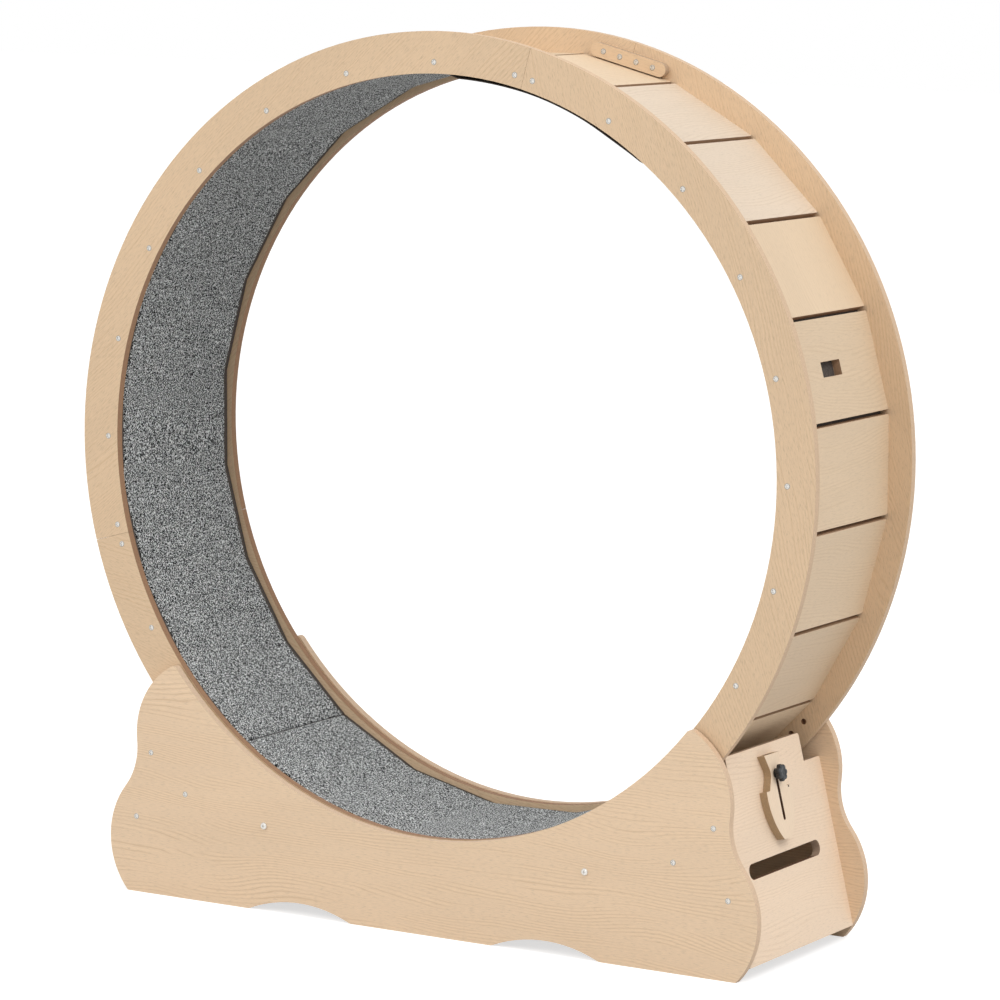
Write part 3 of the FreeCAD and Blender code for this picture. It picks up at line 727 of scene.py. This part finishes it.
def screws(name, places, seed, material, body, *nodes):
    """Screws at places, each (point on the face, way the head looks, length),
    as one mesh that stands for the CAD's screws."""
    mesh = bpy.data.meshes.new(name + "_points")
    mesh.from_pydata([point for point, way, length in places], [], [])
    ways = mesh.attributes.new("way", "FLOAT_VECTOR", "POINT")
    ways.data.foreach_set("vector", [c for point, way, length in places for c in way])
    lengths = mesh.attributes.new("length", "FLOAT", "POINT")
    lengths.data.foreach_set("value", [length for point, way, length in places])
    source = bpy.data.objects.new(name + "_points", mesh)
    scene.collection.objects.link(source)
    maker = source.modifiers.new("screws", "NODES")
    maker.node_group = screws_group
    sizes = {"Head Radius": head_radius, "Head Rise": head_rise, "Shank Radius": shank_radius,
             "Recess Length": recess_length, "Recess Width": recess_width,
             "Recess Depth": recess_depth, "Recess Core": recess_core_radius,
             "Turn Seed": seed, "Material": material}
    for socket in screws_group.interface.items_tree:
        if socket.in_out == "INPUT" and socket.name in sizes:
            maker[socket.identifier] = sizes[socket.name]
    source.update_tag()
    bpy.context.view_layer.update()
    evaluated = source.evaluated_get(bpy.context.evaluated_depsgraph_get())
    made = bpy.data.objects.new(name, bpy.data.meshes.new_from_object(evaluated))
    made.data.name = name
    source.modifiers.remove(maker)
    bpy.data.objects.remove(source)
    scene.collection.objects.link(made)
    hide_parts(*nodes)
    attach(made, body)


screws_group = screw_tree()
nickel_plate = nickel()
drum_places = []
for facing in (-1, 1):
    for number in range(slat_count):
        degrees = slat_first_degrees + number * 360 / slat_count
        outward, onward = round_axle(degrees)
        paired = any(abs(degrees - seam) < 0.01 for seam in seam_degrees)
        for offset in ((-seam_screw_offset, seam_screw_offset) if paired else (0.0,)):
            point = axle + outward * slat_middle_radius + onward * offset
            point.y = facing * ring_face_y
            drum_places.append((point, (0, facing, 0), ring_screw_length))
    for seam in seam_degrees[:2]:
        outward, onward = round_axle(seam)
        for i in range(splice_screw_count):
            offset = (i - (splice_screw_count - 1) / 2) * splice_screw_pitch
            point = axle + outward * splice_radius + onward * offset
            point.y = facing * splice_face_y
            drum_places.append((point, (0, -facing, 0), splice_screw_length))
screws("drum_screws", drum_places, 3, nickel_plate, "drum", "ring_screws", "splice_screws")


# ---- The base's boards ----
# Two side panels with a wavy outline and two leaning end panels between them,
# of the same printed board as the rings, screwed together at their edges.

side_tone = (230, 202, 170)
side_edge_tone = (216, 187, 158)
end_tone = (238, 214, 188)
end_edge_tone = (176, 150, 128)
handle_tone = (104, 74, 52)
handle_reach = 0.081
handle_cut = (0.0900, 0.1170)          # up the panel
end_lean = math.radians(14.4)
end_foot = Vector((0.4345, 0, 0.0162))


def in_handle(a, b):
    """1 on the handle slot's long walls, which are darker than its ends."""
    low, high = handle_cut
    up = b.math("ABSOLUTE")
    return (a.math("ABSOLUTE").math("LESS_THAN", handle_reach)
            * up.math("GREATER_THAN", low) * up.math("LESS_THAN", high))


for side, seed in (("front", 200.0), ("back", 240.0)):
    low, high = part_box(side + "_side_panel")
    coat(side + "_side_panel",
         maple("maple " + side + " side panel", (low + high) / 2, (1, 0, 0), (0, 1, 0), side_tone,
               side_edge_tone, seed, lines=0.75, streaks=1.2))
for facing, side, seed in ((1, "right", 270.0), (-1, "left", 290.0)):
    outward = Vector((facing * math.cos(end_lean), 0, math.sin(end_lean)))
    foot = Vector((facing * end_foot.x, 0, end_foot.z))
    coat(side + "_end_panel",
         maple("maple " + side + " end panel", foot - outward * (board_thickness / 2), (0, 1, 0),
               outward, end_tone, end_edge_tone, seed, lines=0.42, streaks=0.9,
               cut_darkening=(handle_tone, in_handle)))


# ---- The cross rails ----
# Two square battens of planed softwood inside the base, which tie the side
# panels together and carry their screws.


def softwood(name, seed):
    """Planed pine: amber growth lines along Y over a pale ground."""
    look = Finish(name)
    x, y, z = look.axes()
    warp = look.noise(x * 20.0, y * 3.0, z * 20.0 + seed)
    growth = ((x + z) * 320.0 + warp * 4.0).math("FRACT").between(0.35, 0.95)
    fine = look.noise(x * 900.0, y * 40.0, z * 900.0 + seed)
    colour = look.mix(growth * 0.7, (224, 196, 150), (190, 146, 92))
    colour = look.mix(fine.between(0.45, 0.75) * 0.3, colour, (170, 130, 84))
    look.set(Base_Color=colour, Roughness=0.6 + 0.15 * fine)
    look.set(Normal=look.bump(fine, 0.00012))
    return look.material


for side, seed in (("left", 3.0), ("right", 9.0)):
    coat(side + "_cross_rail", softwood("pine " + side + " rail", seed))


# ---- The base's screws ----
# The same screws, a little longer, through both side panels into the edges of
# the end panels and into the rails.

base_screw_length = 0.038
side_face_y = 0.1435
end_screws_up = (0.0814, 0.1657)
rail_place = (0.3375, 0.1295)

base_places = []
up_end = Vector((-math.sin(end_lean), 0, math.cos(end_lean)))
out_end = Vector((math.cos(end_lean), 0, math.sin(end_lean)))
spots = [end_foot + up_end * up - out_end * (board_thickness / 2) for up in end_screws_up]
spots.append(Vector((rail_place[0], 0, rail_place[1])))
for spot in spots:
    for way in (1, -1):
        for facing in (-1, 1):
            base_places.append(((way * spot.x, facing * side_face_y, spot.z), (0, facing, 0),
                                base_screw_length))
screws("side_screws", base_places, 8, nickel_plate, "base", "base_screws")


# ---- The rollers ----
# Four grooved wheels of natural nylon, each on a small steel ball bearing, a
# bolt through the side panel, a spacer and a nut.

roller_corners = ("front_left", "front_right", "back_left", "back_right")


def nylon():
    """Natural nylon: milky, slightly waxy, with fine turning marks."""
    look = Finish("natural nylon")
    x, y, z = look.axes()
    rub = look.speckle(160.0, detail=3.0)
    colour = look.mix(rub.between(0.35, 0.70), (226, 224, 216), (240, 239, 233))
    look.set(Base_Color=colour, Roughness=0.36 + 0.16 * rub, Subsurface_Weight=0.05)
    look.set(Normal=look.bump((y * 1600.0).math("SINE") + rub, 0.00004, 0.5))
    return look.material


def bright_steel():
    """Ground steel, bright, with fine scratches round it."""
    look = Finish("ground steel")
    x, y, z = look.axes()
    scratch = look.noise(x * 300.0, y * 3000.0, z * 300.0, detail=3.0)
    colour = look.mix(scratch.between(0.3, 0.7), (196, 198, 200), (226, 227, 228))
    look.set(Base_Color=colour, Metallic=1.0, Roughness=0.18 + 0.16 * scratch)
    look.set(Normal=look.bump(scratch, 0.00002, 0.5))
    return look.material


roller_nylon = nylon()
ground_steel = bright_steel()
for corner in roller_corners:
    coat("roller_" + corner, roller_nylon)
    coat("outer_race_" + corner, ground_steel)
for node in ("inner_races", "bearing_balls", "axle_spacers", "axle_nuts"):
    coat(node, ground_steel)
coat("axle_bolts", nickel_plate)


# ---- The brake plate ----
# A plate of the same board on the right end panel, with a long slit. Its
# shaped edges are grips; its top goes into the hole of a slat.

plate_tone = (236, 213, 186)
plate_edge_tone = (172, 146, 114)
plate_middle_out = 0.0053
slit_tone = (84, 58, 40)
slit_reach = 0.0045
pin_up = 0.1856
pin_out = 0.0103
pin_aside = 0.0243
pin_steps = 24
pin_neck_share = 0.6
pin_lip = 0.0001
pin_radius = 0.0012
pin_rise = 0.0006
pin_depth = 0.006

coat("brake_plate",
     maple("maple brake plate", end_foot + out_end * plate_middle_out, up_end, out_end, plate_tone,
           plate_edge_tone, seed=320.0, lines=0.3, streaks=0.7,
           cut_darkening=(slit_tone, lambda a, b: b.math("ABSOLUTE").math("LESS_THAN", slit_reach))))
coat("brake_stud", nickel_plate)


def turned_skin(rings, foot, steps):
    """A closed skin round the stud's direction, and each face's material.
    rings are (radius at each step, height over the foot)."""
    points, faces = [], []
    for reach, height in rings:
        for i in range(steps):
            angle = 2 * math.pi * i / steps
            points.append(foot + out_end * height + Vector((0, 1, 0)) * (reach[i] * math.cos(angle))
                          + up_end * (reach[i] * math.sin(angle)))
    for level in range(len(rings) - 1):
        for i in range(steps):
            a, b = level * steps + i, level * steps + (i + 1) % steps
            faces.append((a, b, b + steps, a + steps))
    faces.append(tuple(range(steps)))
    faces.append(tuple((len(rings) - 1) * steps + i for i in range(steps)))
    return points, faces, [0] * len(faces)


def blued_steel():
    """Dark blued steel with a little rub on it."""
    look = Finish("blued steel")
    rub = look.speckle(900.0)
    look.set(Base_Color=look.mix(rub.between(0.4, 0.7), (58, 50, 46), (96, 88, 82)), Metallic=0.8,
             Roughness=0.35 + 0.2 * rub)
    look.set(Normal=look.bump(rub, 0.00002, 0.4))
    return look.material


pin_foot = end_foot + up_end * pin_up + out_end * pin_out + Vector((0, pin_aside, 0))
pin_neck = pin_radius * pin_neck_share
pin_rings = [([radius] * pin_steps, height) for radius, height in (
    (pin_neck, -pin_depth), (pin_neck, -pin_lip), (pin_radius, -pin_lip),
    (pin_radius, pin_rise * 0.5), (pin_neck, pin_rise))]
pin = piece("plate_pin", *turned_skin(pin_rings, pin_foot, pin_steps), [blued_steel()])
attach(pin, "brake")


# ---- The star knob ----
# Black moulded plastic with seven soft lobes and a round collar, on a stud
# through the slit. It clamps the brake plate.

knob_up = 0.2045
knob_out = 0.0106
knob_collar_radius = 0.0060
knob_collar_height = 0.0045
knob_lobes = 7
knob_lobe_radius = 0.0034
knob_lobe_path = 0.0071
knob_core_radius = 0.0080
knob_steps = 168
knob_softening = 2             # steps each way that soften the lobes' corners
# Up the side of the lobes: how far in from the outline, how high over the collar.
knob_side = ((0.0009, 0.0), (0.0002, 0.0005), (0.0, 0.0012), (0.0001, 0.0042),
             (0.0004, 0.0050), (0.0010, 0.0056), (0.0018, 0.0059), (0.0030, 0.0060))
# Across the dished middle: the radius, and how high over the collar.
knob_dish = ((0.0044, 0.0060), (0.0040, 0.0057), (0.0020, 0.0058))
knob_foot = end_foot + up_end * knob_up + out_end * knob_out


def knob_outline():
    """The radius of the lobed outline, all the way round, softened."""
    sharp = []
    for i in range(knob_steps):
        angle = 2 * math.pi * i / knob_steps
        reach = knob_core_radius
        for lobe in range(knob_lobes):
            off = angle - 2 * math.pi * lobe / knob_lobes
            cross = knob_lobe_path * math.sin(off)
            if abs(cross) < knob_lobe_radius and math.cos(off) > 0:
                reach = max(reach, knob_lobe_path * math.cos(off)
                            + math.sqrt(knob_lobe_radius ** 2 - cross ** 2))
        sharp.append(reach)
    window = range(-knob_softening, knob_softening + 1)
    return [sum(sharp[(i + k) % knob_steps] for k in window) / len(window)
            for i in range(knob_steps)]


def knob_rings():
    """Rings from the collar's foot, up the lobes, to the dished middle."""
    outline = knob_outline()
    collar, low = knob_collar_radius, knob_collar_height
    rings = [([collar] * knob_steps, 0.0), ([collar] * knob_steps, low)]
    for inset, height in knob_side:
        rings.append(([reach - inset for reach in outline], low + height))
    for radius, height in knob_dish:
        rings.append(([radius] * knob_steps, low + height))
    return rings


def black_plastic():
    """Moulded plastic with a fine spark-eroded texture."""
    look = Finish("black moulded plastic")
    grain = look.speckle(2600.0)
    wear = look.speckle(180.0, detail=3.0)
    colour = look.mix(wear.between(0.4, 0.7), (30, 32, 35), (44, 47, 51))
    look.set(Base_Color=colour, Roughness=0.34 + 0.18 * wear)
    look.set(Normal=look.bump(grain, 0.00005, 0.5))
    return look.material


knob = piece("knob_grip", *turned_skin(knob_rings(), knob_foot, knob_steps), [black_plastic()])
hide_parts("star_knob")
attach(knob, "knob")
